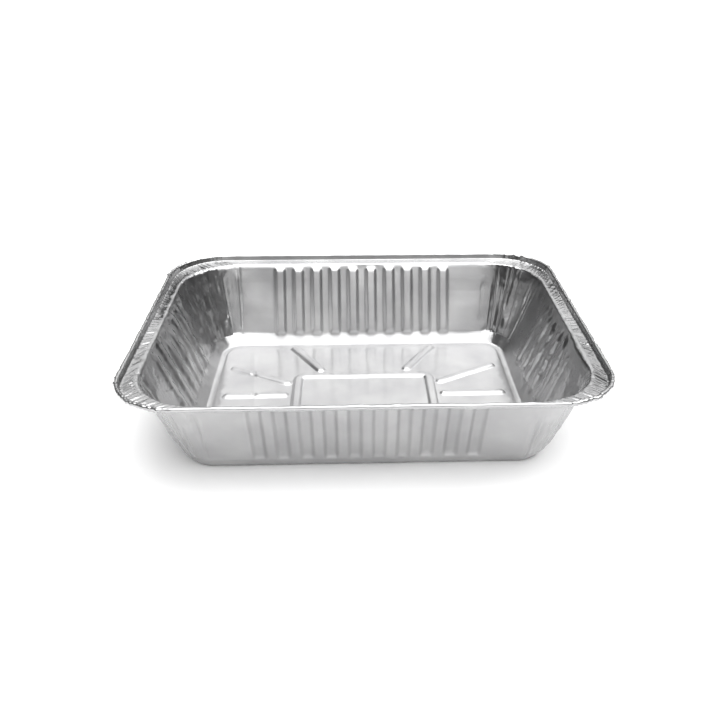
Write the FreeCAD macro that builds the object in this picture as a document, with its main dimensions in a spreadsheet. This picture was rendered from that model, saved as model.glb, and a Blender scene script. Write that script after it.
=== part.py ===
import FreeCAD, Part
import math
import os
import Sketcher
from FreeCAD import Vector, Placement, Rotation

# Foil roasting pan: one drawn aluminium sheet.
# Millimetres, +Z up. The pan is centred on the origin, its long side is
# along X and it stands on Z = 0 on the narrow ring round its floor.

os.makedirs("parts", exist_ok=True)
doc = FreeCAD.newDocument("foil_roasting_pan")

# ---------------------------------------------------------------- sheet
sheet = doc.addObject("Spreadsheet::Sheet", "dims")
CELLS = [
    # overall, over the rolled rim
    ("overall_length", 324.0),
    ("overall_width", 264.0),
    ("overall_height", 70.0),
    ("foil", 0.1),
    # drawn body, measured on the outside of the foil where the walls, run on
    # down, would meet the base plane
    ("base_half_length", 124.0),
    ("base_half_width", 94.0),
    ("base_corner", 20.0),
    ("draft", 22.12),
    # bevel between the walls and the floor, and the radius at its bottom edge
    ("foot_height", 8.6),
    ("foot_draft", 35.8),
    ("base_radius", 2.0),
    ("wall_top", 61.5),
    # stiffening ribs pressed into the four walls
    ("rib_pitch", 15.9),
    ("rib_half_width", 5.6),
    ("rib_depth", 2.0),
    ("rib_flank", 57.0),
    ("rib_top", 65.6),
    ("rib_bottom", 13.6),
    ("rib_count_long", 10.0),
    ("rib_count_short", 6.0),
    # raised floor panel and the beads on it
    ("panel_half_length", 117.2),
    ("panel_half_width", 87.2),
    ("panel_corner", 15.0),
    ("panel_rise", 1.4),
    ("bead_rise", 1.8),
    ("bead_half_width", 3.9),
    ("ring_half_length", 53.0),
    ("ring_half_width", 30.5),
    ("ring_corner", 6.0),
    ("spoke_start", 63.0),
    ("spoke_end", 107.0),
    ("low_diag_start_x", 61.5),
    ("low_diag_start_y", 19.5),
    ("low_diag_end_x", 106.0),
    ("low_diag_end_y", 45.0),
    ("steep_diag_start_x", 35.5),
    ("steep_diag_start_y", 41.0),
    ("steep_diag_end_x", 58.5),
    ("steep_diag_end_y", 79.5),
    # rim: fold, flange, lip and rolled edge
    ("rim_corner", 44.3),
    ("fold_start", 63.1),
    ("fold_radius", 2.4),
    ("lip_radius", 0.8),
    ("lip_angle", 86.0),
    ("curl_radius", 1.4),
]
for i, (alias, value) in enumerate(CELLS, start=1):
    sheet.set("A%d" % i, alias.replace("_", " "))
    sheet.set("B%d" % i, repr(value))
    sheet.setAlias("B%d" % i, alias)
doc.recompute()
V = dict(CELLS)
SIDE_TAPER = 45.0  # slope of the floor's bead and panel flanks


def D(name):
    return "<<dims>>." + name


def origin_plane(body, role):
    for feature in body.Origin.OriginFeatures:
        if feature.Role == role:
            return feature
    raise RuntimeError(role)


def new_body(name):
    return doc.addObject("PartDesign::Body", name)


def new_sketch(body, name, role="XY_Plane"):
    sk = body.newObject("Sketcher::SketchObject", name)
    sk.AttachmentSupport = [(origin_plane(body, role), "")]
    sk.MapMode = "FlatFace"
    return sk


def bind(sk, index, name, expression):
    sk.renameConstraint(index, name)
    sk.setExpression("Constraints." + name, expression)


def line(sk, a, b):
    return sk.addGeometry(Part.LineSegment(Vector(a[0], a[1], 0), Vector(b[0], b[1], 0)), False)


def arc(sk, c, r, a0, a1):
    circle = Part.Circle(Vector(c[0], c[1], 0), Vector(0, 0, 1), r)
    return sk.addGeometry(Part.ArcOfCircle(circle, math.radians(a0), math.radians(a1)), False)


def rounded_rectangle(sk, tag, hx, hy, r, ex, ey, er):
    """Rounded rectangle about the sketch origin, driven by three sizes."""
    e = line(sk, (hx, 0), (hx, hy - r))
    c1 = arc(sk, (hx - r, hy - r), r, 0, 90)
    n = line(sk, (hx - r, hy), (-hx + r, hy))
    c2 = arc(sk, (-hx + r, hy - r), r, 90, 180)
    w = line(sk, (-hx, hy - r), (-hx, -hy + r))
    c3 = arc(sk, (-hx + r, -hy + r), r, 180, 270)
    s = line(sk, (-hx + r, -hy), (hx - r, -hy))
    c4 = arc(sk, (hx - r, -hy + r), r, 270, 360)
    e2 = line(sk, (hx, -hy + r), (hx, 0))
    con = sk.addConstraint
    C = Sketcher.Constraint
    con(C("Tangent", e, 2, c1, 1))
    con(C("Tangent", c1, 2, n, 1))
    con(C("Tangent", n, 2, c2, 1))
    con(C("Tangent", c2, 2, w, 1))
    con(C("Tangent", w, 2, c3, 1))
    con(C("Tangent", c3, 2, s, 1))
    con(C("Tangent", s, 2, c4, 1))
    con(C("Tangent", c4, 2, e2, 1))
    con(C("Coincident", e2, 2, e, 1))
    con(C("Vertical", e))
    con(C("Vertical", e2))
    con(C("Horizontal", s))
    con(C("PointOnObject", e, 1, -1))
    con(C("Equal", c1, c2))
    con(C("Equal", c1, c3))
    con(C("Equal", c1, c4))
    con(C("Symmetric", n, 1, n, 2, -2))
    con(C("Symmetric", w, 1, w, 2, -1))
    bind(sk, con(C("Radius", c1, r)), tag + "Corner", er)
    bind(sk, con(C("DistanceX", -1, 1, e, 1, hx)), tag + "HalfX", ex)
    bind(sk, con(C("DistanceY", -1, 1, n, 1, hy)), tag + "HalfY", ey)


def slot(sk, tag, p, q, r, exprs, er):
    """Round-ended slot between two centres, each coordinate driven."""
    dx, dy = q[0] - p[0], q[1] - p[1]
    ang = math.degrees(math.atan2(dy, dx))
    ux, uy = math.cos(math.radians(ang)), math.sin(math.radians(ang))
    nx, ny = -uy, ux
    l1 = line(sk, (p[0] - nx * r, p[1] - ny * r), (q[0] - nx * r, q[1] - ny * r))
    a1 = arc(sk, q, r, ang - 90, ang + 90)
    l2 = line(sk, (q[0] + nx * r, q[1] + ny * r), (p[0] + nx * r, p[1] + ny * r))
    a2 = arc(sk, p, r, ang + 90, ang + 270)
    con = sk.addConstraint
    C = Sketcher.Constraint
    con(C("Tangent", l1, 2, a1, 1))
    con(C("Tangent", a1, 2, l2, 1))
    con(C("Tangent", l2, 2, a2, 1))
    con(C("Tangent", a2, 2, l1, 1))
    con(C("Equal", a1, a2))
    bind(sk, con(C("Radius", a1, r)), tag + "R", er)
    for k, (geo, key, value) in enumerate(((a2, "PX", p[0]), (a2, "PY", p[1]), (a1, "QX", q[0]), (a1, "QY", q[1]))):
        expression = exprs[k]
        kind = "DistanceX" if key.endswith("X") else "DistanceY"
        if expression is None:
            # a coordinate that lies on the sketch's own axis
            con(C("PointOnObject", geo, 3, -2 if kind == "DistanceX" else -1))
            continue
        bind(sk, con(C(kind, -1, 1, geo, 3, value)), tag + key, expression)


TAN = "tan(" + D("draft") + " * 1 deg)"
COS = "cos(" + D("draft") + " * 1 deg)"
tan_d = math.tan(math.radians(V["draft"]))
cos_d = math.cos(math.radians(V["draft"]))
FTAN = "tan(" + D("foot_draft") + " * 1 deg)"
FCOS = "cos(" + D("foot_draft") + " * 1 deg)"
tan_f = math.tan(math.radians(V["foot_draft"]))
cos_f = math.cos(math.radians(V["foot_draft"]))
GROW = 1 / math.cos(math.radians(SIDE_TAPER)) - math.tan(math.radians(SIDE_TAPER))


def forming_body(name, inside):
    """The pan as a solid plug. inside=False is the outer face of the foil,
    inside=True the inner face, parallel to it at one foil thickness."""
    t = V["foil"] if inside else 0.0
    T = "(" + D("foil") + " * %d)" % (1 if inside else 0)
    body = new_body(name)

    # height of the knee where the bevel meets the wall, on this face
    knee = V["foot_height"] + t * (1 / cos_d - 1 / cos_f) / (tan_d - tan_f)
    KNEE = ("(" + D("foot_height") + " + " + T + " * (1 / " + COS + " - 1 / " + FCOS + ") / ("
            + TAN + " - " + FTAN + "))")

    # drafted walls above the knee, wider at the top
    sk = new_sketch(body, name + "_knee")
    sk.AttachmentOffset = Placement(Vector(0, 0, knee), Rotation())
    sk.setExpression("AttachmentOffset.Base.z", KNEE)
    shrink = knee * tan_d - t / cos_d
    S = "(" + KNEE + " * " + TAN + " - " + T + " / " + COS + ")"
    rounded_rectangle(sk, "Knee", V["base_half_length"] + shrink, V["base_half_width"] + shrink,
                      V["base_corner"] + shrink, D("base_half_length") + " + " + S,
                      D("base_half_width") + " + " + S, D("base_corner") + " + " + S)
    walls = body.newObject("PartDesign::Pad", name + "_walls")
    walls.Profile = sk
    walls.Length = V["wall_top"] - knee + (4.0 if inside else 0.0)
    walls.setExpression("Length", D("wall_top") + " - " + KNEE + (" + 4" if inside else ""))
    walls.TaperAngle = V["draft"]
    walls.setExpression("TaperAngle", D("draft"))
    doc.recompute()

    # bevel below the knee, down to the floor
    sk = new_sketch(body, name + "_base")
    sk.AttachmentOffset = Placement(Vector(0, 0, t), Rotation())
    sk.setExpression("AttachmentOffset.Base.z", T)
    shrink = V["foot_height"] * (tan_d - tan_f) + t * tan_f - t / cos_f
    S = ("(" + D("foot_height") + " * (" + TAN + " - " + FTAN + ") + " + T + " * " + FTAN + " - "
         + T + " / " + FCOS + ")")
    rounded_rectangle(sk, "Base", V["base_half_length"] + shrink, V["base_half_width"] + shrink,
                      V["base_corner"] + shrink, D("base_half_length") + " + " + S,
                      D("base_half_width") + " + " + S, D("base_corner") + " + " + S)
    pad = body.newObject("PartDesign::Pad", name + "_bevel")
    pad.Profile = sk
    pad.Length = knee - t
    pad.setExpression("Length", KNEE + " - " + T)
    pad.TaperAngle = V["foot_draft"]
    pad.setExpression("TaperAngle", D("foot_draft"))
    doc.recompute()
    bottom = [i + 1 for i, e in enumerate(pad.Shape.Edges)
              if abs(e.BoundBox.ZMax - t) < 1e-4 and abs(e.BoundBox.ZMin - t) < 1e-4]
    fil = body.newObject("PartDesign::Fillet", name + "_base_radius")
    fil.Base = (pad, ["Edge%d" % i for i in bottom])
    fil.Radius = V["base_radius"] - t
    fil.setExpression("Radius", D("base_radius") + " - " + T)
    doc.recompute()

    # raised floor panel, pressed up from below
    G = "(" + T + " * %.9f)" % GROW
    g = t * GROW
    sk = new_sketch(body, name + "_panel_outline")
    sk.AttachmentOffset = Placement(Vector(0, 0, t), Rotation())
    sk.setExpression("AttachmentOffset.Base.z", T)
    rounded_rectangle(sk, "Panel", V["panel_half_length"] + g, V["panel_half_width"] + g, V["panel_corner"] + g,
                      D("panel_half_length") + " + " + G, D("panel_half_width") + " + " + G,
                      D("panel_corner") + " + " + G)
    panel = body.newObject("PartDesign::Pocket", name + "_panel")
    panel.Profile = sk
    panel.Reversed = True
    panel.Length = V["panel_rise"]
    panel.setExpression("Length", D("panel_rise"))
    panel.TaperAngle = -SIDE_TAPER

    # beads on the floor panel: a ring and round-ended ribs about it
    def bead_sketch(tag):
        sk = new_sketch(body, name + "_" + tag)
        sk.AttachmentOffset = Placement(Vector(0, 0, V["panel_rise"] + t), Rotation())
        sk.setExpression("AttachmentOffset.Base.z", D("panel_rise") + " + " + T)
        return sk

    def bead_pocket(sk, tag):
        p = body.newObject("PartDesign::Pocket", name + "_" + tag)
        p.Profile = sk
        p.Reversed = True
        p.Length = V["bead_rise"]
        p.setExpression("Length", D("bead_rise"))
        p.TaperAngle = -SIDE_TAPER
        return p

    hw = V["bead_half_width"] + g
    HW = "(" + D("bead_half_width") + " + " + G + ")"
    sk = bead_sketch("ring_outline")
    rounded_rectangle(sk, "Outer", V["ring_half_length"] + hw, V["ring_half_width"] + hw, V["ring_corner"] + hw,
                      D("ring_half_length") + " + " + HW, D("ring_half_width") + " + " + HW,
                      D("ring_corner") + " + " + HW)
    bead_pocket(sk, "ring")
    # the floor inside the ring stays at the panel's level
    sk = bead_sketch("ring_middle_outline")
    rounded_rectangle(sk, "Inner", V["ring_half_length"] - hw, V["ring_half_width"] - hw, V["ring_corner"] - hw,
                      D("ring_half_length") + " - " + HW, D("ring_half_width") + " - " + HW,
                      D("ring_corner") + " - " + HW)
    middle = body.newObject("PartDesign::Pad", name + "_ring_middle")
    middle.Profile = sk
    middle.Length = V["bead_rise"]
    middle.setExpression("Length", D("bead_rise"))
    middle.TaperAngle = SIDE_TAPER
    sk = bead_sketch("rib_outlines")
    n = 0
    for sx in (1, -1):
        slot(sk, "Spoke%d" % n, (sx * V["spoke_start"], 0), (sx * V["spoke_end"], 0), hw,
             ["%d * %s" % (sx, D("spoke_start")), None, "%d * %s" % (sx, D("spoke_end")), None], HW)
        n += 1
        for sy in (1, -1):
            for kind in ("low", "steep"):
                names = [kind + "_diag_start_x", kind + "_diag_start_y", kind + "_diag_end_x", kind + "_diag_end_y"]
                vals = [V[k] * (sx if k.endswith("x") else sy) for k in names]
                ex = ["%d * %s" % (sx if k.endswith("x") else sy, D(k)) for k in names]
                slot(sk, "Diag%d" % n, vals[:2], vals[2:], hw, ex, HW)
                n += 1
    bead_pocket(sk, "ribs")
    doc.recompute()

    # wall ribs: pressed inwards, flared sides, running out under the rim
    def rib_row(tag, axis, sign, count_name):
        count = int(V[count_name])
        half = V["base_half_width"] if axis == "y" else V["base_half_length"]
        HALF = D("base_half_width") if axis == "y" else D("base_half_length")
        sk = new_sketch(body, name + "_" + tag + "_outline")
        # plane on this wall's face: local x along the wall, local z outwards
        tilt = 90.0 + V["draft"]
        turn = {("y", 1): 0.0, ("x", 1): -90.0, ("y", -1): 180.0, ("x", -1): 90.0}[(axis, sign)]
        rot = Rotation(Vector(0, 0, 1), turn).multiply(Rotation(Vector(1, 0, 0), -tilt))
        # the inner face of the foil lies one thickness inside the outer one
        reach = half - t / cos_d
        REACH = "(" + HALF + " - " + T + " / " + COS + ")"
        d = Vector(0, reach * sign, 0) if axis == "y" else Vector(reach * sign, 0, 0)
        sk.AttachmentOffset = Placement(d, rot)
        sk.setExpression("AttachmentOffset.Base." + axis, "%d * %s" % (sign, REACH))
        fl = math.radians(V["rib_flank"])
        r = V["rib_half_width"] + t * (1 / math.cos(fl) - math.tan(fl))
        R = ("(" + D("rib_half_width") + " + " + T + " * (1 / cos(" + D("rib_flank") + " * 1 deg) - tan("
             + D("rib_flank") + " * 1 deg)))")
        first = -V["rib_pitch"] * (count - 1) / 2.0
        # local y runs down the slope from the base line; the rib dies out at
        # the bevel
        slot(sk, "Rib", (first, -V["rib_top"] + r), (first, -V["rib_bottom"]), r,
             ["-" + D("rib_pitch") + " * (" + D(count_name) + " - 1) / 2",
              "-" + D("rib_top") + " + " + R,
              "-" + D("rib_pitch") + " * (" + D(count_name) + " - 1) / 2",
              "-" + D("rib_bottom")], R)
        cut = body.newObject("PartDesign::Pocket", name + "_" + tag)
        cut.Profile = sk
        cut.Length = V["rib_depth"]
        cut.setExpression("Length", D("rib_depth"))
        cut.TaperAngle = -V["rib_flank"]
        cut.setExpression("TaperAngle", "-" + D("rib_flank"))
        row = body.newObject("PartDesign::LinearPattern", name + "_" + tag + "_row")
        row.Originals = [cut]
        row.Direction = (sk, ["H_Axis"])
        row.Length = V["rib_pitch"] * (count - 1)
        row.setExpression("Length", D("rib_pitch") + " * (" + D(count_name) + " - 1)")
        row.Occurrences = count
        row.setExpression("Occurrences", D(count_name))
        body.Tip = row
        doc.recompute()

    rib_row("back", "y", 1, "rib_count_long")
    rib_row("front", "y", -1, "rib_count_long")
    rib_row("right", "x", 1, "rib_count_short")
    rib_row("left", "x", -1, "rib_count_short")
    return body


outer = forming_body("outer_face", False)
inner = forming_body("inner_face", True)

# ---------------------------------------------------------------- rim
# Three pieces of the same foil: the fold at the top of the wall, carried
# round the mouth; the flat flange; and the lip with its edge rolled outwards
# and down, carried round the rim. The rim's corners are tighter than the
# mouth's, so the flange is wider there. Faces A and B are the two sides of
# the foil, A being the outside of the wall.
rim = new_body("rim")
t = V["foil"]
dr = math.radians(V["draft"])
la = math.radians(V["lip_angle"])
rf, rl, rc = V["fold_radius"], V["lip_radius"], V["curl_radius"]
SIN = "sin(" + D("draft") + " * 1 deg)"
LIP = D("lip_angle") + " * 1 deg"


def add(p, q, k=1.0):
    return (p[0] + q[0] * k, p[1] + q[1] * k)


# underside of the flange, and where the fold meets it
flange_z = V["fold_start"] + rf * (1 - math.sin(dr))
FLANGE_Z = "(" + D("fold_start") + " + " + D("fold_radius") + " * (1 - " + SIN + "))"
fold_out = V["fold_start"] * tan_d + rf * cos_d
FOLD_OUT = "(" + D("fold_start") + " * " + TAN + " + " + D("fold_radius") + " * " + COS + ")"
# where the lip's fold leaves the flange, measured in from the outermost edge
curl_c = (V["overall_length"] / 2 - rc - t, V["overall_height"] - rc - t)
p_lip = add(curl_c, (-math.sin(la), math.cos(la)), rc)
lip_in = (rc + t + rc * math.sin(la) + (p_lip[1] - flange_z) / math.tan(la) + (rl + t) * math.tan(la / 2))
LIP_IN = ("(" + D("curl_radius") + " + " + D("foil") + " + " + D("curl_radius") + " * sin(" + LIP + ") + ("
          + D("overall_height") + " - " + D("curl_radius") + " - " + D("foil") + " + " + D("curl_radius")
          + " * cos(" + LIP + ") - " + FLANGE_Z + ") / tan(" + LIP + ") + (" + D("lip_radius") + " + "
          + D("foil") + ") * tan(" + LIP + " / 2))")


def mouth_rectangle(sk, out, OUT):
    rounded_rectangle(sk, "Mouth", V["base_half_length"] + out, V["base_half_width"] + out,
                      V["base_corner"] + out, D("base_half_length") + " + " + OUT,
                      D("base_half_width") + " + " + OUT, D("base_corner") + " + " + OUT)


def rim_rectangle(sk, into, INTO):
    rounded_rectangle(sk, "Rim", V["overall_length"] / 2 - into, V["overall_width"] / 2 - into,
                      V["rim_corner"] - into, D("overall_length") + " / 2 - " + INTO,
                      D("overall_width") + " / 2 - " + INTO, D("rim_corner") + " - " + INTO)


def level_sketch(name, z, Z):
    sk = new_sketch(rim, name)
    sk.AttachmentOffset = Placement(Vector(0, 0, z), Rotation())
    sk.setExpression("AttachmentOffset.Base.z", Z)
    return sk


def carry(profile, path, name):
    pipe = rim.newObject("PartDesign::AdditivePipe", name)
    pipe.Profile = profile
    pipe.Spine = (path, [])
    pipe.Mode = "Standard"
    rim.Tip = pipe
    doc.recompute()


# flat flange
sk = level_sketch("flange_outline", flange_z, FLANGE_Z)
mouth_rectangle(sk, fold_out, FOLD_OUT)
rim_rectangle(sk, lip_in, LIP_IN)
flange = rim.newObject("PartDesign::Pad", "flange")
flange.Profile = sk
flange.Length = t
flange.setExpression("Length", D("foil"))
doc.recompute()

# fold at the top of the wall
path = level_sketch("fold_path", V["wall_top"], D("wall_top"))
SPREAD = D("wall_top") + " * " + TAN
spread = V["wall_top"] * tan_d
mouth_rectangle(path, spread, SPREAD)
sec = new_sketch(rim, "fold_section", "XZ_Plane")
a0 = (V["base_half_length"] + spread, V["wall_top"])
a1 = add(a0, (math.sin(dr), math.cos(dr)), (V["fold_start"] - V["wall_top"]) / cos_d)
fold_c = add(a1, (math.cos(dr), -math.sin(dr)), rf)
n0 = (-math.cos(dr), math.sin(dr))
A0 = line(sec, a0, a1)
A1 = arc(sec, fold_c, rf, 90, 180 - V["draft"])
B0 = line(sec, add(a0, (-t / cos_d, 0.0)), add(fold_c, n0, rf + t))
B1 = arc(sec, fold_c, rf + t, 90, 180 - V["draft"])
foot = line(sec, a0, add(a0, (-t / cos_d, 0.0)))
end = line(sec, add(fold_c, (0, rf)), add(fold_c, (0, rf + t)))
con = sec.addConstraint
C = Sketcher.Constraint
con(C("Tangent", A0, 2, A1, 2))
con(C("Tangent", B0, 2, B1, 2))
con(C("Coincident", foot, 1, A0, 1))
con(C("Coincident", foot, 2, B0, 1))
con(C("Coincident", end, 1, A1, 1))
con(C("Coincident", end, 2, B1, 1))
con(C("Horizontal", foot))
con(C("Vertical", end))
con(C("Vertical", A1, 3, A1, 1))
con(C("Coincident", A1, 3, B1, 3))
con(C("Parallel", A0, B0))
bind(sec, con(C("Radius", A1, rf)), "FoldA", D("fold_radius"))
bind(sec, con(C("Radius", B1, rf + t)), "FoldB", D("fold_radius") + " + " + D("foil"))
bind(sec, con(C("DistanceX", -1, 1, A0, 1, a0[0])), "MouthX", D("base_half_length") + " + " + SPREAD)
bind(sec, con(C("DistanceY", -1, 1, A0, 1, a0[1])), "MouthZ", D("wall_top"))
bind(sec, con(C("DistanceY", -1, 1, A0, 2, a1[1])), "FoldZ", D("fold_start"))
bind(sec, con(C("Angle", A0, math.pi / 2 - dr)), "WallAngle", "(90 - " + D("draft") + ") * 1 deg")
carry(sec, path, "fold")

# lip and rolled edge
path = level_sketch("lip_path", flange_z, FLANGE_Z)
rim_rectangle(path, lip_in, LIP_IN)
sec = new_sketch(rim, "lip_section", "XZ_Plane")
lip_c = (V["overall_length"] / 2 - lip_in, flange_z + rl + t)
nl = (-math.sin(la), math.cos(la))
A3 = arc(sec, lip_c, rl + t, -90, V["lip_angle"] - 90)
A4 = line(sec, add(lip_c, nl, -(rl + t)), add(curl_c, nl, rc))
A5 = arc(sec, curl_c, rc, 270, 450 + V["lip_angle"])
B3 = arc(sec, lip_c, rl, -90, V["lip_angle"] - 90)
B4 = line(sec, add(lip_c, nl, -rl), add(curl_c, nl, rc + t))
B5 = arc(sec, curl_c, rc + t, 270, 450 + V["lip_angle"])
foot = line(sec, add(lip_c, (0, -rl - t)), add(lip_c, (0, -rl)))
end = line(sec, add(curl_c, (0, -rc)), add(curl_c, (0, -rc - t)))
con = sec.addConstraint
for l3, l4, l5 in ((A3, A4, A5), (B3, B4, B5)):
    con(C("Tangent", l3, 2, l4, 1))
    con(C("Tangent", l4, 2, l5, 2))
con(C("Coincident", foot, 1, A3, 1))
con(C("Coincident", foot, 2, B3, 1))
con(C("Coincident", end, 1, A5, 1))
con(C("Coincident", end, 2, B5, 1))
con(C("Vertical", foot))
con(C("Vertical", end))
con(C("Vertical", A3, 3, A3, 1))
con(C("Vertical", A5, 3, A5, 1))
con(C("Coincident", A3, 3, B3, 3))
con(C("Coincident", A5, 3, B5, 3))
bind(sec, con(C("Radius", A3, rl + t)), "LipA", D("lip_radius") + " + " + D("foil"))
bind(sec, con(C("Radius", B3, rl)), "LipB", D("lip_radius"))
bind(sec, con(C("Radius", A5, rc)), "CurlA", D("curl_radius"))
bind(sec, con(C("Radius", B5, rc + t)), "CurlB", D("curl_radius") + " + " + D("foil"))
bind(sec, con(C("DistanceY", -1, 1, A3, 1, flange_z)), "FlangeZ", FLANGE_Z)
bind(sec, con(C("Angle", A4, la)), "LipAngle", LIP)
bind(sec, con(C("DistanceX", -1, 1, A5, 3, curl_c[0])), "CurlX",
     D("overall_length") + " / 2 - " + D("curl_radius") + " - " + D("foil"))
bind(sec, con(C("DistanceY", -1, 1, A5, 3, curl_c[1])), "CurlZ",
     D("overall_height") + " - " + D("curl_radius") + " - " + D("foil"))
carry(sec, path, "rolled_edge")

# ---------------------------------------------------------------- the pan
pressed = doc.addObject("Part::Cut", "pressed_body")
pressed.Base = outer
pressed.Tool = inner
doc.recompute()
pan = doc.addObject("Part::Fuse", "foil_pan")
pan.Base = pressed
pan.Tool = rim
pan.Refine = False
pan.Label = "foil_pan"
pan.Placement = Placement(Vector(0, 0, 0), Rotation())
doc.recompute()

for obj in doc.Objects:
    if "Invalid" in obj.State or "Error" in obj.State:
        raise RuntimeError("%s is not valid: %s" % (obj.Name, obj.State))
for obj in (pan,):
    if obj.Shape.isNull() or not obj.Shape.isValid():
        raise RuntimeError(obj.Label + " has no valid shape")
    if len(obj.Shape.Solids) != 1:
        raise RuntimeError("%s has %d solids" % (obj.Label, len(obj.Shape.Solids)))
    obj.Shape.exportStep("parts/%s.step" % obj.Label)
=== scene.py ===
import math

import bpy
import numpy as np
from mathutils import Matrix, Vector
from mathutils.geometry import delaunay_2d_cdt


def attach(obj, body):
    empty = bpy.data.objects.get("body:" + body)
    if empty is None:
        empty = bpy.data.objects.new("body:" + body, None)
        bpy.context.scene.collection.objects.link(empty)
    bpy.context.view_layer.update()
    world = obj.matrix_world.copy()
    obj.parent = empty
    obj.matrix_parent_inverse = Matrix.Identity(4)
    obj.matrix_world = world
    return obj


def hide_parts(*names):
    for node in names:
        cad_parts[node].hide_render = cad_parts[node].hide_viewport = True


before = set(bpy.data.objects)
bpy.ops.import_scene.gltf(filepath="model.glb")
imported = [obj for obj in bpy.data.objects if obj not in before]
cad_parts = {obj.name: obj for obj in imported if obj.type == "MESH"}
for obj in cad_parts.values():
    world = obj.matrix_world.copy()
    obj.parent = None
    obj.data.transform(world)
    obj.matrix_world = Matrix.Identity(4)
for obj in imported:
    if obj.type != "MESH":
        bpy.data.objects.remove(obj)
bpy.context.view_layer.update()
rng = np.random.default_rng(41)

# ------------------------------------------------------------------ sizes (mm)
HALF_X, HALF_Y, BASE_R = 124.0, 94.0, 20.0     # walls run on down to the base plane
DRAFT = math.radians(22.12)
FOOT_DRAFT = math.radians(35.8)
KNEE_Z = 8.6
FOIL = 0.1
FOOT_R = 2.0
RIM_X, RIM_Y, RIM_R = 162.0, 132.0, 44.3
TOP = 70.0
PITCH = 15.9
RIB_RISE = 2.05
FOLD_Z, FOLD_R = 63.1, 2.4
CURL_R = 1.4
LIP_R = 0.8
LIP_A = math.radians(86.0)
TAND, SIND, COSD = math.tan(DRAFT), math.sin(DRAFT), math.cos(DRAFT)
TANF, SINF, COSF = math.tan(FOOT_DRAFT), math.sin(FOOT_DRAFT), math.cos(FOOT_DRAFT)
BASE_O = KNEE_Z * (TAND - TANF)                # bevel's bottom edge, as an offset of the base line
CX, CY = HALF_X - BASE_R, HALF_Y - BASE_R      # centres of the base corners
RCX, RCY = RIM_X - RIM_R, RIM_Y - RIM_R        # centres of the rim corners
FOOT_IN = FOOT_R * math.tan((math.pi / 2 - FOOT_DRAFT) / 2)


def smooth(x):
    x = np.clip(x, 0.0, 1.0)
    return x * x * (3 - 2 * x)


class Waves:
    """Smooth seeded noise: a sum of plane waves of about one wavelength."""

    def __init__(self, length, count=14, spread=0.45, stretch=(1, 1, 1)):
        d = rng.normal(size=(count, 3))
        d /= np.linalg.norm(d, axis=1)[:, None]
        k = 2 * math.pi / (length * np.exp(rng.uniform(-spread, spread, count)))
        self.k = d * k[:, None] * np.array(stretch)
        self.p = rng.uniform(0, 2 * math.pi, count)
        self.a = math.sqrt(2.0 / count)

    def __call__(self, P):
        return self.a * np.cos(P @ self.k.T + self.p).sum(-1)


# ------------------------------------------------------------------ columns
# Each column is a vertical section of the pan: the side it is on (0 right,
# 1 back, 2 left, 3 front, 10 to 13 the corners after them), its place along
# that side, or the fraction of the corner's quarter turn.
RIB_STEPS = [0.0, 1.5, 2.3, 3.1, 3.9, 4.7, 5.5, 6.4]
CORNER_COLS = 84


def side_positions(half, ribs):
    zone = ribs * PITCH / 2
    pos = []
    for i in range(ribs):
        c = -zone + PITCH * (i + 0.5)
        pos.append(c - PITCH / 2)
        pos += [c - s for s in RIB_STEPS[:0:-1]] + [c] + [c + s for s in RIB_STEPS[1:]]
    pos.append(zone)
    n = 10
    left = [-half + (half - zone) * i / n for i in range(n)]
    right = [zone + (half - zone) * i / n for i in range(1, n + 1)]
    return np.array(left + pos + right)


side_len = {0: (CY, 6), 1: (CX, 10), 2: (CY, 6), 3: (CX, 10)}
dirs = {0: (1, 0), 1: (0, 1), 2: (-1, 0), 3: (0, -1)}
tang = {0: (0, 1), 1: (-1, 0), 2: (0, -1), 3: (1, 0)}
corner_after = {0: (1, 1), 1: (-1, 1), 2: (-1, -1), 3: (1, -1)}

bx, by, nx_, ny_, ox, oy, kind, along, corner_w = [], [], [], [], [], [], [], [], []
for sidei in range(4):
    half, ribs = side_len[sidei]
    n = dirs[sidei]
    t = tang[sidei]
    for s in side_positions(half, ribs):
        bx.append(n[0] * HALF_X if n[0] else t[0] * s)
        by.append(n[1] * HALF_Y if n[1] else t[1] * s)
        nx_.append(n[0]); ny_.append(n[1])
        q = s * (RCY if n[0] else RCX) / half
        ox.append(n[0] * RIM_X if n[0] else t[0] * q)
        oy.append(n[1] * RIM_Y if n[1] else t[1] * q)
        kind.append(sidei); along.append(s); corner_w.append(0.0)
    c = corner_after[sidei]
    a0 = math.atan2(n[1], n[0])
    for j in range(1, CORNER_COLS):
        f = j / CORNER_COLS
        a = a0 + f * math.pi / 2
        ux, uy = math.cos(a), math.sin(a)
        bx.append(c[0] * CX + BASE_R * ux); by.append(c[1] * CY + BASE_R * uy)
        nx_.append(ux); ny_.append(uy)
        ox.append(c[0] * RCX + RIM_R * ux); oy.append(c[1] * RCY + RIM_R * uy)
        kind.append(10 + sidei); along.append(f); corner_w.append(1.0)
bx, by, nx_, ny_, ox, oy = map(np.array, (bx, by, nx_, ny_, ox, oy))
kind, along, corner_w = np.array(kind), np.array(along), np.array(corner_w)
NC = len(bx)
rim_s = np.concatenate([[0], np.cumsum(np.hypot(np.diff(ox), np.diff(oy)))])
rim_total = rim_s[-1] + math.hypot(ox[0] - ox[-1], oy[0] - oy[-1])
short_wall = ((kind == 0) | (kind == 2)).astype(float)

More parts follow.
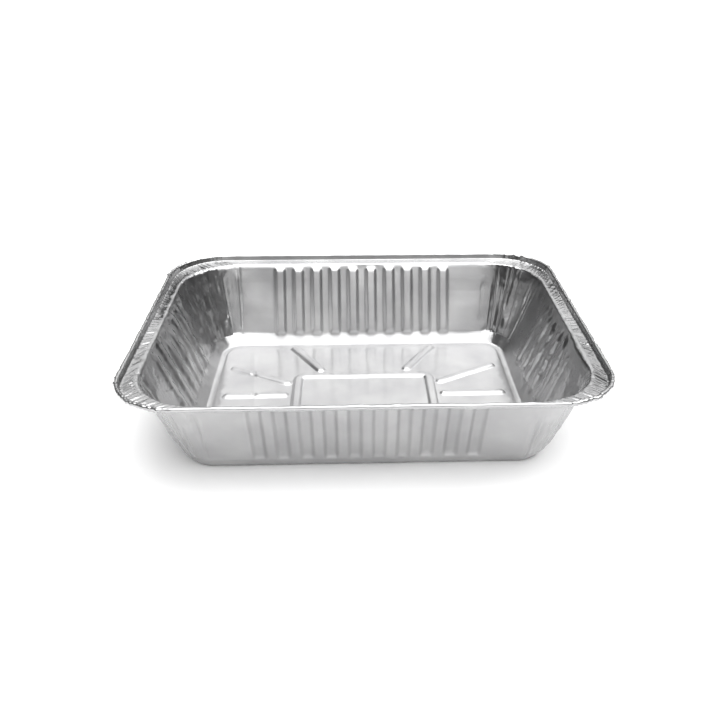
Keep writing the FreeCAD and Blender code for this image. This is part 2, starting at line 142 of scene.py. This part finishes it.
# ------------------------------------------------------------------ rows
H = FOIL / 2                     # rows follow the middle of the foil
rows = [("foot", i / 3) for i in range(4)]
rows += [("bevel", i / 3) for i in range(1, 4)]
rows += [("wall", z) for z in (9.2, 10.2, 12.5, 16.0, 20.0, 24.0, 28.0, 32.0, 36.0, 40.0, 44.0, 48.0, 51.5, 54.5,
                               56.8, 58.4, 59.8, 61.2, FOLD_Z)]
rows += [("fold", i / 4) for i in range(1, 5)]
rows += [("flange", i / 5) for i in range(1, 6)]
rows += [("lipfold", i / 2) for i in range(1, 3)]
rows += [("lip", 1.0)]
CURL_ROWS = 8
rows += [("curl", i / CURL_ROWS) for i in range(1, CURL_ROWS + 1)]
NR = len(rows)

flange_z = FOLD_Z + FOLD_R * (1 - SIND)
curl_w, curl_z = CURL_R + FOIL, TOP - CURL_R - FOIL
lip_top_w = curl_w + CURL_R * math.sin(LIP_A)
lip_top_z = curl_z + CURL_R * math.cos(LIP_A)
lip_w = lip_top_w + (lip_top_z - flange_z) / math.tan(LIP_A) + (LIP_R + FOIL) * math.tan(LIP_A / 2)

P = np.zeros((NR, NC, 3))
region = np.zeros(NR, int)       # 0 foot and bevel, 1 wall, 2 fold, 3 flange, 4 lip, 5 curl
fold_o = FOLD_Z * TAND + FOLD_R * COSD
knee_zm = KNEE_Z + H * (1 / COSD - 1 / COSF) / (TAND - TANF)


def ring(o, z):
    return np.stack([bx + nx_ * o, by + ny_ * o, np.full(NC, z)], 1)


for r, (part, v) in enumerate(rows):
    if part == "foot":
        a = v * (math.pi / 2 - FOOT_DRAFT)
        rad = FOOT_R - H
        P[r] = ring(BASE_O - FOOT_IN + rad * math.sin(a), H + rad * (1 - math.cos(a)))
    elif part == "bevel":
        z0 = H + (FOOT_R - H) * (1 - SINF)
        z = z0 + (knee_zm - z0) * v
        P[r] = ring(BASE_O + z * TANF - H / COSF, z)
    elif part == "wall":
        region[r] = 1
        P[r] = ring(v * TAND - H / COSD, v)
    elif part == "fold":
        region[r] = 2
        a = (math.pi - DRAFT) + v * (math.pi / 2 - (math.pi - DRAFT))
        rad = FOLD_R + H
        P[r] = ring(fold_o + rad * math.cos(a), FOLD_Z - FOLD_R * SIND + rad * math.sin(a))
    else:
        inner = ring(fold_o, flange_z + H)
        f = 1.0
        if part == "flange":
            region[r] = 3
            w, z, f = lip_w, flange_z + H, v
        elif part == "lipfold":
            region[r] = 4
            a = -math.pi / 2 + v * LIP_A
            w = lip_w - (LIP_R + H) * math.cos(a)
            z = flange_z + FOIL + LIP_R + (LIP_R + H) * math.sin(a)
        elif part == "lip":
            region[r] = 4
            w = curl_w + (CURL_R + H) * math.sin(LIP_A)
            z = curl_z + (CURL_R + H) * math.cos(LIP_A)
        else:
            region[r] = 5
            a = math.pi / 2 + LIP_A - v * (LIP_A + math.pi)
            w = curl_w - (CURL_R + H) * math.cos(a)
            z = curl_z + (CURL_R + H) * math.sin(a)
        outer = np.stack([ox - nx_ * w, oy - ny_ * w, np.full(NC, z)], 1)
        P[r] = inner * (1 - f) + outer * f


def grid_normals(Q):
    du = np.roll(Q, -1, 1) - np.roll(Q, 1, 1)
    dv = np.empty_like(Q)
    dv[1:-1] = Q[2:] - Q[:-2]
    dv[0] = Q[1] - Q[0]
    dv[-1] = Q[-1] - Q[-2]
    n = np.cross(dv, du)
    n /= np.maximum(np.linalg.norm(n, axis=-1, keepdims=True), 1e-12)
    return n


N = grid_normals(P)
flip = N[12, 0, 0] > 0           # normals point to the food side
if flip:
    N = -N
L = np.concatenate([np.zeros((1, NC)), np.cumsum(np.linalg.norm(np.diff(P, axis=0), axis=-1), 0)])
zrow = P[:, 0, 2].copy()

# ------------------------------------------------------------------ relief
push = np.zeros((NR, NC))        # along the normal, + into the pan

# wall ribs: broad flared pressings that run out under the fold and, below
# the knee, into the bevel
rib_profile = np.zeros(NC)
rib_top = np.zeros(NC)
rib_low = np.zeros(NC)
for sidei in range(4):
    half, ribs = side_len[sidei]
    m = kind == sidei
    s = along[m]
    best = np.zeros(m.sum())
    tops = np.zeros(m.sum())
    lows = np.zeros(m.sum())
    for i in range(ribs):
        c = -ribs * PITCH / 2 + PITCH * (i + 0.5)
        d = np.abs(s - c)
        near = d <= PITCH / 2
        size = 1.0 + rng.uniform(-0.08, 0.08)
        if sidei in (0, 2):
            size *= rng.uniform(0.75, 1.0)
        best[near] = size * smooth((5.8 - d[near]) / 3.6)
        tops[near] = 61.0 + rng.uniform(-0.5, 0.5) - (rng.uniform(0, 9) if sidei in (0, 2) else 0.0)
        lows[near] = rng.uniform(0, 6) if sidei in (0, 2) else 0.0
    rib_profile[m], rib_top[m], rib_low[m] = best, tops, lows
for r, (part, v) in enumerate(rows):
    z = zrow[r]
    if region[r] == 0:
        below = max(0.0, (knee_zm - z)) * (TANF - TAND) * COSD
        push[r] = np.maximum(0, 0.55 * rib_profile - below)
    elif region[r] in (1, 2):
        z2 = z if region[r] == 1 else 63.1 + 2 * v
        edge = np.where(short_wall > 0, 9.0, 3.6)
        push[r] = RIB_RISE * rib_profile * smooth((rib_top - z2 + edge / 2) / edge)
        push[r] *= np.clip((z - knee_zm) / 3.2 + 0.27, 0, 1)
    else:
        continue
    push[r] *= np.where(short_wall > 0, 0.7 * smooth((z - rib_low) / 8.0 + 0.2), 1.0)

# loose, uneven foil: slow bows in the walls and shallow dents
wave_big = Waves(75, 16)
wave_mid = Waves(27, 24)
wave_small = Waves(11.5, 40, 0.3)
wave_dent = Waves(15, 30)
flat = P.reshape(-1, 3)
weight = np.array([{0: 0.3, 1: 1.0, 2: 0.4, 3: 0.3, 4: 0.15, 5: 0.1}[k] for k in region])
handled = np.maximum(short_wall, corner_w * 0.8)


def soften(values, width):
    """Blurs a value per column along the rim, so that nothing starts abruptly."""
    d = np.abs(rim_s[:, None] - rim_s[None, :])
    d = np.minimum(d, rim_total - d)
    step = (np.roll(rim_s, -1) - np.roll(rim_s, 1)) % rim_total
    k = np.exp(-(d / width) ** 2) * step[None, :]
    return (k * values[None, :]).sum(1) / k.sum(1)


handled = soften(handled, 9.0)
dents = -0.6 * smooth((-wave_dent(flat).reshape(NR, NC) - 0.35) / 1.3)
w = wave_big(flat).reshape(NR, NC) * 0.32 + wave_mid(flat).reshape(NR, NC) * 0.10
w += wave_small(flat).reshape(NR, NC) * 0.105 * handled[None, :]
w += dents * handled[None, :] * 1.15
push += w * weight[:, None]
hammered = Waves(10.5, 40, 0.3)(flat).reshape(NR, NC)
spot = np.exp(-((P[:, :, 1] - 5) / 45) ** 2) * (P[:, :, 0] > 0) + 0.45 * (P[:, :, 0] < 0)
push += 0.22 * hammered * soften(short_wall, 6.0)[None, :] * spot * (region == 1)[:, None]

# creases that run down the drawn corners, gathered from the rim
crease = np.zeros((NR, NC))
for ci in range(4):
    cols = np.where(kind == 10 + ci)[0]
    f = along[cols]
    n_cr = 14
    for k in range(n_cr):
        f0 = (k + 0.5 + rng.uniform(-0.35, 0.35)) / n_cr
        depth = rng.uniform(0.3, 1.25) * (1 if rng.random() < 0.4 else -1)
        z_low = rng.uniform(2, 44) if rng.random() < 0.6 else 3
        z_high = rng.uniform(40, 75)
        wdt = rng.uniform(0.018, 0.040)
        lean = rng.uniform(-0.0009, 0.0009)
        for r in range(NR):
            if region[r] > 2:
                continue
            z = zrow[r]
            amp = float(smooth((z - z_low) / 20.0)) * float(smooth((z_high - z) / 18.0 + 0.25))
            if amp <= 0:
                continue
            x = (f - f0 - lean * (z - 60)) / wdt
            crease[r, cols] += depth * (1.0 if ci < 2 else 1.35) * amp * np.maximum(0, 1 - np.abs(x)) ** 1.2 * smooth(np.minimum(f, 1 - f) / 0.05)
push += crease * 0.85
# the corners stand a little proud of the drawn shape, bellied by the pleats
belly = np.array([math.sin(math.pi * min(1, max(0, (z - 2) / 60))) if region[r] < 3 else 0 for r, z in enumerate(zrow)])
push -= 0.9 * belly[:, None] * (np.sin(math.pi * np.clip(along, 0, 1)) * corner_w)[None, :]

P2 = P + N * push[..., None]

# pleats gathered across the flange, lip and rolled edge, strong at the corners
def zigzag(values_at, lo, hi, strength):
    knots = [0.0]
    span = values_at[-1]
    while knots[-1] < span + hi:
        knots.append(knots[-1] + rng.uniform(lo, hi))
    vals = [rng.uniform(0.25, 1.0) * strength * (1 if i % 2 else -1) for i in range(len(knots))]
    return np.interp(values_at, knots, vals)


zig = np.zeros(NC)
zig2 = np.zeros(NC)
for ci in range(4):
    cols = np.where(kind == 10 + ci)[0]
    sa = rim_s[cols] - rim_s[cols[0]]
    env = smooth(np.minimum(along[cols], 1 - along[cols]) / 0.10)
    zig[cols] = zigzag(sa, 0.9, 2.9, 1.0) * env
    zig2[cols] = zigzag(sa, 0.9, 2.6, 1.0) * env
side_cols = corner_w < 0.5
fine = zigzag(rim_s, 1.6, 2.8, 1.0)
fine2 = zigzag(rim_s, 2.0, 4.5, 1.0)
side_amt = soften(np.where(short_wall > 0, 1.0, 0.25) * side_cols, 5.0)
# part of the left flange hangs a little
droop = np.where(ox < 0, smooth((ox + 120) / -30) * smooth((oy + 5) / 40) * smooth((128 - oy) / 30), 0.0)
rim_wave = np.zeros(NC)
for k in (3, 4, 5, 7, 9, 12, 16, 23):
    rim_wave += rng.normal() * np.cos(2 * math.pi * k * rim_s / rim_total + rng.uniform(0, 6.28)) / k ** 0.8
rim_wave *= 0.16
nub = np.zeros(NC)
for ci in range(4):
    cols = np.where(kind == 10 + ci)[0]
    for k in range(9):
        s0 = rng.uniform(rim_s[cols[0]] - 6, rim_s[cols[-1]] + 6)
        nub += rng.uniform(0.3, 0.95) * np.exp(-((rim_s - s0) / rng.uniform(0.8, 1.6)) ** 2)
for k in range(16):
    nub += rng.uniform(-0.35, 0.45) * np.exp(-((rim_s - rng.uniform(0, rim_total)) / rng.uniform(0.9, 2.0)) ** 2)
rim_mid = Waves(11, 30)(np.stack([ox, oy, 0 * ox], 1)) * 0.16
for r in range(NR):
    reg = region[r]
    v = rows[r][1]
    if reg == 2:
        P2[r, :, 2] += (0.05 + 0.25 * v) * zig * 0.7 + 0.10 * v * fine * side_amt
        P2[r] += N[r] * ((0.35 * zig2) * v)[:, None]
    elif reg == 3:
        mix = zig * (1 - 0.5 * v) + zig2 * 0.5 * v
        P2[r, :, 2] += 0.95 * mix * (0.6 + 0.4 * v) + 0.40 * fine * side_amt + rim_mid * (0.4 + 0.4 * side_amt)
        P2[r, :, 2] += (0.35 - 1.0 * droop) * v
    elif reg in (4, 5):
        # the lip and rolled edge are squeezed in and out by the same pleats
        shape = zig2 * 0.17 + fine2 * 0.12 * side_amt + rim_mid * 0.7
        turn = 1.0 if reg == 4 else 1.0 + 0.5 * math.sin(3.0 * v)
        P2[r] += N[r] * (shape * turn)[:, None]
        P2[r, :, 2] += 0.14 * zig * (1 if reg == 5 else 0.6)
        out_by = nub * (0.25 if reg == 4 else 1.0)
        P2[r, :, 0] += nx_ * out_by
        P2[r, :, 1] += ny_ * out_by
        if reg == 4:
            P2[r, :, 2] += (0.35 - 1.0 * droop) * max(0.0, 1 - (zrow[r] - flange_z) / 3.5)
    lift = float(smooth((zrow[r] - 30) / 34.0)) if reg < 3 else 1.0
    P2[r, :, 2] += rim_wave * lift

P2[:, :, 2] = np.maximum(P2[:, :, 2], H)
N2 = grid_normals(P2)
if flip:
    N2 = -N2


# ------------------------------------------------------------------ floor
def sdf_rr(x, y, hx, hy, r):
    qx, qy = np.abs(x) - (hx - r), np.abs(y) - (hy - r)
    return np.hypot(np.maximum(qx, 0), np.maximum(qy, 0)) + np.minimum(np.maximum(qx, qy), 0) - r


def sdf_seg(x, y, a, b):
    ax, ay = a
    dx, dy = b[0] - ax, b[1] - ay
    t = np.clip(((x - ax) * dx + (y - ay) * dy) / (dx * dx + dy * dy), 0, 1)
    return np.hypot(x - ax - t * dx, y - ay - t * dy)


BEADS = []
for sx in (1, -1):
    BEADS.append(((sx * 63, 0), (sx * 107, 0)))
    for sy in (1, -1):
        BEADS.append(((sx * 61.5, sy * 19.5), (sx * 106, sy * 45)))
        BEADS.append(((sx * 35.5, sy * 41), (sx * 58.5, sy * 79.5)))
PANEL = (117.2, 87.2, 15.0)
floor_wave = Waves(60, 14)
floor_wave2 = Waves(17, 20)


def floor_height(x, y):
    d = -sdf_rr(x, y, *PANEL)
    z = 1.4 * smooth((d + 0.2) / 2.0)
    band = np.abs(sdf_rr(x, y, 53, 30.5, 6))
    b = smooth((4.2 - band) / 2.2)
    for a, c in BEADS:
        b = np.maximum(b, smooth((4.2 - sdf_seg(x, y, a, c)) / 2.2))
    # a fold in the foil crosses the two left beads
    kink = x + 0.10 * y + 86.0
    b = b * (1 - 0.75 * np.exp(-(kink / 1.3) ** 2) * (y > -30) * (y < 60))
    z = z + 1.8 * b
    z = z + 0.35 * np.maximum(0, 1 - np.abs(kink) / 3.2) * smooth((y + 40) / 30) * smooth((82 - y) / 20) * (d > 2)
    Q = np.stack([x, y, np.zeros_like(x)], -1)
    inside = smooth((d - 2) / 12)
    z = z + inside * (0.22 + 0.15 * floor_wave(Q) + 0.03 * floor_wave2(Q))
    return z + H


edge_xy = P[0, :, :2]
pts = [tuple(p) for p in edge_xy]


def along_closed(hx, hy, r, step):
    """Points evenly round a rounded rectangle."""
    n_arc = max(3, int(math.pi / 2 * r / step))
    out = []
    for sxx, syy, a0 in ((1, 1, 0), (-1, 1, 90), (-1, -1, 180), (1, -1, 270)):
        for i in range(n_arc + 1):
            a = math.radians(a0 + 90 * i / n_arc)
            out.append((sxx * (hx - r) + r * math.cos(a), syy * (hy - r) + r * math.sin(a)))
    res = []
    for i in range(len(out)):
        a, b = out[i], out[(i + 1) % len(out)]
        m = max(1, int(round(math.hypot(b[0] - a[0], b[1] - a[1]) / step)))
        for j in range(m):
            res.append((a[0] + (b[0] - a[0]) * j / m, a[1] + (b[1] - a[1]) * j / m))
    return res


cand = []
for o in (-0.4, 0.5, 1.2, 2.2):
    cand += along_closed(PANEL[0] - o, PANEL[1] - o, PANEL[2] - o * 0.5, 2.6)
for o in (-4.9, -4.1, -3.2, -2.2, -0.9, 0.9, 2.2, 3.2, 4.1, 4.9):
    cand += along_closed(53 + o, 30.5 + o, max(1.2, 6 + o), 2.6)
for a, b in BEADS:
    dx, dy = b[0] - a[0], b[1] - a[1]
    ln = math.hypot(dx, dy)
    ux, uy = dx / ln, dy / ln
    n = int(ln / 1.6)
    for o in (0.0, 2.1, 3.1, 4.1, 4.9):
        for sgn in ((1, -1) if o else (1,)):
            for i in range(n + 1):
                q = ln * i / n
                cand.append((a[0] + ux * q - uy * o * sgn, a[1] + uy * q + ux * o * sgn))
        if o:
            m = max(3, int(math.pi * o / 1.6))
            for i in range(1, m):
                tt = math.pi * i / m
                for (px, py, s2) in ((b[0], b[1], 1), (a[0], a[1], -1)):
                    cxx = math.cos(tt - math.pi / 2) * o * s2
                    cyy = math.sin(tt - math.pi / 2) * o
                    cand.append((px + ux * cxx - uy * cyy, py + uy * cxx + ux * cyy))
for yy in np.arange(-45, 85, 2.0):
    for o in (-3.4, -2.2, -1.1, 0.0, 1.1, 2.2, 3.4):
        cand.append((-86.0 - 0.10 * yy + o, yy))
GRID = 4.7
gx = np.arange(-120, 120.1, GRID)
gy = np.arange(-90, 90.1, GRID)
grid_pts = [(x + (GRID / 2 if j % 2 else 0) + rng.uniform(-.5, .5), y + rng.uniform(-.5, .5))
            for j, y in enumerate(gy) for x in gx]


def thin(points, gap, keep):
    """Drops points nearer than gap to one that is already kept."""
    cell = {}
    for p in keep:
        cell.setdefault((int(p[0] // gap), int(p[1] // gap)), []).append(p)
    out = []
    for p in points:
        i, j = int(p[0] // gap), int(p[1] // gap)
        if any((q[0] - p[0]) ** 2 + (q[1] - p[1]) ** 2 < gap * gap
               for a in (i - 1, i, i + 1) for b in (j - 1, j, j + 1) for q in cell.get((a, b), ())):
            continue
        out.append(p)
        cell.setdefault((i, j), []).append(p)
    return out


e0 = BASE_O - FOOT_IN
lim = (HALF_X + e0, HALF_Y + e0, BASE_R + e0)
arr = np.array(cand)
cand = [tuple(p) for p in arr[sdf_rr(arr[:, 0], arr[:, 1], *lim) < -0.7]]
kept = thin(cand, 0.75, [])
arr = np.array(grid_pts)
g_ok = [tuple(p) for p in arr[sdf_rr(arr[:, 0], arr[:, 1], *lim) < -1.5]]
kept += thin(g_ok, 2.4, kept)
all_pts = pts + kept
edges = [(i, (i + 1) % NC) for i in range(NC)]
vc, ve, vf, ov, oe, of_ = delaunay_2d_cdt([Vector(p) for p in all_pts], edges, [], 1, 1e-5, True)
fx = np.array([v.x for v in vc])
fy = np.array([v.y for v in vc])
fz = floor_height(fx, fy)
vmap = np.full(len(vc), -1)      # the floor's edge shares the first row's vertices
extra = []
for i, src in enumerate(ov):
    hit = [s for s in src if s < NC]
    if hit:
        vmap[i] = hit[0]
    else:
        vmap[i] = NR * NC + len(extra)
        extra.append(i)
F = np.stack([fx[extra], fy[extra], fz[extra]], 1)
e = 0.3
gxn = (floor_height(F[:, 0] + e, F[:, 1]) - floor_height(F[:, 0] - e, F[:, 1])) / (2 * e)
gyn = (floor_height(F[:, 0], F[:, 1] + e) - floor_height(F[:, 0], F[:, 1] - e)) / (2 * e)
FN = np.stack([-gxn, -gyn, np.ones_like(gxn)], 1)
FN /= np.linalg.norm(FN, axis=1)[:, None]

# ------------------------------------------------------------------ mesh
mid = np.concatenate([P2.reshape(-1, 3), F])
nor = np.concatenate([N2.reshape(-1, 3), FN])
nv = len(mid)
top = mid + nor * H
bot = mid - nor * H
bot[:, 2] = np.maximum(bot[:, 2], 0.0)
verts = np.concatenate([top, bot]) / 1000.0
blank = np.zeros((nv, 2))
blank[:NR * NC] = np.stack([edge_xy[None, :, 0] + nx_[None, :] * L, edge_xy[None, :, 1] + ny_[None, :] * L],
                           -1).reshape(-1, 2)
blank[NR * NC:] = F[:, :2]

faces = []
for r in range(NR - 1):
    a, b = r * NC, (r + 1) * NC
    for c in range(NC):
        d = (c + 1) % NC
        # both sheets are cut along the same, shorter diagonal
        if np.sum((mid[a + c] - mid[b + d]) ** 2) < np.sum((mid[a + d] - mid[b + c]) ** 2):
            faces += [(a + c, b + c, b + d), (a + c, b + d, a + d)]
        else:
            faces += [(a + c, b + c, a + d), (b + c, b + d, a + d)]


def plan_area(f):
    p = mid[list(f)]
    q = np.roll(p, -1, 0)
    return float((p[:, 0] * q[:, 1] - q[:, 0] * p[:, 1]).sum())


if plan_area(faces[2 * NC * 10]) < 0:
    faces = [f[::-1] for f in faces]
for f in ([int(vmap[i]) for i in g] for g in vf):
    if len(set(f)) == len(f):
        faces.append(tuple(f) if plan_area(f) > 0 else tuple(f[::-1]))
rim_faces = []
a = (NR - 1) * NC
edge_pairs = {(f[i], f[(i + 1) % 3]) for f in faces[2 * (NR - 2) * NC:2 * (NR - 1) * NC] for i in range(3)}
swap = (a, a + 1) in edge_pairs
for c in range(NC):
    d = (c + 1) % NC
    f = (a + c, a + d, a + d + nv, a + c + nv)
    rim_faces.append(f[::-1] if swap else f)
all_faces = faces + [tuple(v + nv for v in f[::-1]) for f in faces] + rim_faces

mesh = bpy.data.meshes.new("foil_pan_sheet")
mesh.from_pydata([tuple(v) for v in verts], [], all_faces)
uv = mesh.uv_layers.new(name="blank")
loop_v = np.zeros(len(mesh.loops), int)
mesh.loops.foreach_get("vertex_index", loop_v)
uv.data.foreach_set("uv", (np.concatenate([blank, blank])[loop_v] / 1000.0).ravel())
mask = np.zeros(nv)
reg_row = np.repeat(region, NC)
mask[:NR * NC] = np.where(reg_row >= 3, np.tile(np.maximum(0.25, handled), NR),
                          np.where(reg_row >= 1, np.tile(np.maximum(0.10, handled), NR), 0.2 * np.tile(handled, NR)))
att = mesh.attributes.new("crumple", "FLOAT", "POINT")
att.data.foreach_set("value", np.concatenate([mask, mask]))
gath = np.zeros(nv)
corner_soft = soften(corner_w, 6.0)
short_soft = soften(short_wall, 6.0)
gath[:NR * NC] = np.where(reg_row >= 3, 1.0, np.where(reg_row >= 1, np.tile(np.maximum(0.75 * corner_soft, 0.7 * short_soft), NR), 0.0))
att = mesh.attributes.new("gathered", "FLOAT", "POINT")
att.data.foreach_set("value", np.concatenate([gath, gath]))
mesh.validate()
mesh.shade_smooth()
pan = bpy.data.objects.new("foil_pan_sheet", mesh)
bpy.context.scene.collection.objects.link(pan)
print("columns", NC, "rows", NR, "triangles", sum(len(f) - 2 for f in all_faces))

# ------------------------------------------------------------------ foil
mat = bpy.data.materials.new("rolled_foil")
mat.use_nodes = True
nt = mat.node_tree
for n in list(nt.nodes):
    nt.nodes.remove(n)
out = nt.nodes.new("ShaderNodeOutputMaterial")
bsdf = nt.nodes.new("ShaderNodeBsdfPrincipled")
bsdf.inputs["Metallic"].default_value = 1.0
bsdf.inputs["Anisotropic"].default_value = 0.92
bsdf.inputs["Anisotropic Rotation"].default_value = 0.25
satin = nt.nodes.new("ShaderNodeBsdfPrincipled")
satin.inputs["Metallic"].default_value = 1.0
satin.inputs["Roughness"].default_value = 0.50
satin.inputs["Anisotropic"].default_value = 0.9
satin.inputs["Anisotropic Rotation"].default_value = 0.25
lobes = nt.nodes.new("ShaderNodeMixShader")
nt.links.new(bsdf.outputs[0], lobes.inputs[1])
nt.links.new(satin.outputs[0], lobes.inputs[2])
nt.links.new(lobes.outputs[0], out.inputs[0])
tg = nt.nodes.new("ShaderNodeTangent")
tg.direction_type = "UV_MAP"
tg.uv_map = "blank"
nt.links.new(tg.outputs[0], bsdf.inputs["Tangent"])
nt.links.new(tg.outputs[0], satin.inputs["Tangent"])
uvn = nt.nodes.new("ShaderNodeUVMap")
uvn.uv_map = "blank"


def mapping(scale, rot=0.0):
    m = nt.nodes.new("ShaderNodeMapping")
    m.inputs["Scale"].default_value = scale
    m.inputs["Rotation"].default_value = (0, 0, rot)
    nt.links.new(uvn.outputs[0], m.inputs[0])
    return m


def noise(vec, scale, detail=2.0, rough=0.5):
    n = nt.nodes.new("ShaderNodeTexNoise")
    n.inputs["Scale"].default_value = scale
    n.inputs["Detail"].default_value = detail
    n.inputs["Roughness"].default_value = rough
    nt.links.new(vec, n.inputs["Vector"])
    return n


def ramp(src, lo, hi, c0, c1):
    r = nt.nodes.new("ShaderNodeMapRange")
    r.inputs["From Min"].default_value = lo
    r.inputs["From Max"].default_value = hi
    r.inputs["To Min"].default_value = c0
    r.inputs["To Max"].default_value = c1
    nt.links.new(src, r.inputs["Value"])
    return r.outputs[0]


def math_node(op, a, b):
    m = nt.nodes.new("ShaderNodeMath")
    m.operation = op
    for i, x in enumerate((a, b)):
        if isinstance(x, (int, float)):
            m.inputs[i].default_value = x
        else:
            nt.links.new(x, m.inputs[i])
    return m.outputs[0]


geo = nt.nodes.new("ShaderNodeTexCoord")
# rolling lines: long along the sheet, a fraction of a millimetre apart
lines_f = noise(mapping((12, 1500, 1)).outputs[0], 1.0, 3.0, 0.6)
lines_b = noise(mapping((5, 160, 1)).outputs[0], 1.0, 2.0, 0.5)
cloud = noise(geo.outputs["Object"], 28.0, 3.0, 0.55)
grain = noise(geo.outputs["Object"], 420.0, 2.0, 0.5)
col = nt.nodes.new("ShaderNodeMixRGB")
col.inputs["Color1"].default_value = (0.44, 0.44, 0.445, 1)
col.inputs["Color2"].default_value = (0.53, 0.53, 0.53, 1)
nt.links.new(ramp(cloud.outputs[0], 0.3, 0.7, 0, 1), col.inputs["Fac"])
nt.links.new(col.outputs[0], bsdf.inputs["Base Color"])
nt.links.new(col.outputs[0], satin.inputs["Base Color"])
attn = nt.nodes.new("ShaderNodeAttribute")
attn.attribute_name = "crumple"
gat = nt.nodes.new("ShaderNodeAttribute")
gat.attribute_name = "gathered"
rough = math_node("ADD", ramp(cloud.outputs[0], 0.3, 0.7, 0.0, 0.025), ramp(lines_b.outputs[0], 0.3, 0.7, 0.205, 0.24))
nt.links.new(math_node("SUBTRACT", rough, math_node("MULTIPLY", gat.outputs["Fac"], 0.09)), bsdf.inputs["Roughness"])
nt.links.new(math_node("SUBTRACT", 0.34, math_node("MULTIPLY", gat.outputs["Fac"], 0.07)), lobes.inputs[0])


def bump(height, strength, dist, prev=None):
    b = nt.nodes.new("ShaderNodeBump")
    b.inputs["Strength"].default_value = strength
    b.inputs["Distance"].default_value = dist
    nt.links.new(height, b.inputs["Height"])
    if prev is not None:
        nt.links.new(prev, b.inputs["Normal"])
    return b.outputs[0]


n1 = bump(lines_f.outputs[0], 0.5, 0.00003)
n1 = bump(lines_b.outputs[0], 0.5, 0.00012, n1)
crinkle = noise(geo.outputs["Object"], 190.0, 2.0, 0.6)
n1 = bump(math_node("MULTIPLY", crinkle.outputs[0], attn.outputs["Fac"]), 0.5, 0.0009, n1)
n1 = bump(grain.outputs[0], 0.25, 0.00008, n1)
nt.links.new(n1, bsdf.inputs["Normal"])
nt.links.new(n1, satin.inputs["Normal"])
mesh.materials.append(mat)

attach(pan, "root")
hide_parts("foil_pan")

# ------------------------------------------------------------------ stage
fm = bpy.data.meshes.new("floor")
S = 40.0
fm.from_pydata([(-S, -S, 0), (S, -S, 0), (S, S, 0), (-S, S, 0)], [], [(0, 1, 2, 3)])
floor = bpy.data.objects.new("floor", fm)
floor.location.z = -0.0002
bpy.context.scene.collection.objects.link(floor)
fmat = bpy.data.materials.new("pale_floor")
fmat.use_nodes = True
fb = fmat.node_tree.nodes["Principled BSDF"]
fb.inputs["Base Color"].default_value = (0.96, 0.96, 0.96, 1)
fb.inputs["Roughness"].default_value = 0.9
fb.inputs["Specular IOR Level"].default_value = 0.0
fm.materials.append(fmat)

world = bpy.data.worlds.new("studio")
bpy.context.scene.world = world
world.use_nodes = True
world.node_tree.nodes["Background"].inputs[0].default_value = (0.05, 0.05, 0.05, 1)
world.node_tree.nodes["Background"].inputs[1].default_value = 1.0


def aim(obj, direction):
    obj.rotation_mode = "QUATERNION"
    obj.rotation_quaternion = Vector(direction).to_track_quat("-Z", "Y")


def sun(name, frm, strength, angle):
    l = bpy.data.lights.new(name, "SUN")
    l.energy = strength
    l.angle = math.radians(angle)
    o = bpy.data.objects.new(name, l)
    bpy.context.scene.collection.objects.link(o)
    aim(o, [-c for c in frm])
    return o


def panel(name, az, el, dist, wide, tall, radiance):
    """A flat panel facing the pan: az from +Y towards +X, both in degrees."""
    a, b = math.radians(az), math.radians(el)
    loc = Vector((math.sin(a) * math.cos(b), math.cos(a) * math.cos(b), math.sin(b))) * dist
    l = bpy.data.lights.new(name, "AREA")
    l.shape = "RECTANGLE"
    l.size = 2 * dist * math.tan(math.radians(wide / 2))
    l.size_y = 2 * dist * math.tan(math.radians(tall / 2))
    l.energy = radiance * math.pi * l.size * l.size_y
    o = bpy.data.objects.new(name, l)
    o.location = loc + Vector((0, 0, 0.03))
    bpy.context.scene.collection.objects.link(o)
    aim(o, -loc)
    return o


sun("overhead", (0.12, -0.18, 0.975), 5.3, 88)
panel("behind", 2, 35, 2.6, 44, 19, 1.2)
panel("behind_right", 26, 23, 2.6, 26, 12, 0.3)
panel("right_high", 60, 37, 2.4, 34, 24, 1.4)
panel("front", 180, 17, 1.7, 46, 18, 0.42)
panel("front_right", 128, 14, 1.7, 34, 18, 0.12)
panel("left", 258, 15, 1.9, 32, 20, 0.5)

# ------------------------------------------------------------------ camera
FPX, PX, PY = 817.4, 380.8, 358.8
EL, YAW, ROLL = math.radians(27.657), math.radians(2.231), math.radians(0.266)
DIST, TX, TZ = 0.6275, 0.01269, 0.03297
fwd = Vector((math.sin(YAW) * math.cos(EL), math.cos(YAW) * math.cos(EL), -math.sin(EL)))
right = Vector((math.cos(YAW), -math.sin(YAW), 0))
up = right.cross(fwd)
r2 = right * math.cos(ROLL) + up * math.sin(ROLL)
u2 = up * math.cos(ROLL) - right * math.sin(ROLL)
cam = bpy.data.cameras.new("camera")
cam.sensor_width = 36.0
cam.lens = FPX / 720 * 36
cam.shift_x = -(PX - 360) / 720
cam.shift_y = (PY - 360) / 720
cam.clip_start = 0.01
cam.clip_end = 50
co = bpy.data.objects.new("camera", cam)
m = Matrix((r2, u2, -fwd)).transposed().to_4x4()
m.translation = -fwd * DIST + Vector((TX, 0, TZ))
co.matrix_world = m
bpy.context.scene.collection.objects.link(co)
bpy.context.scene.camera = co
bpy.context.scene.view_settings.view_transform = "Standard"
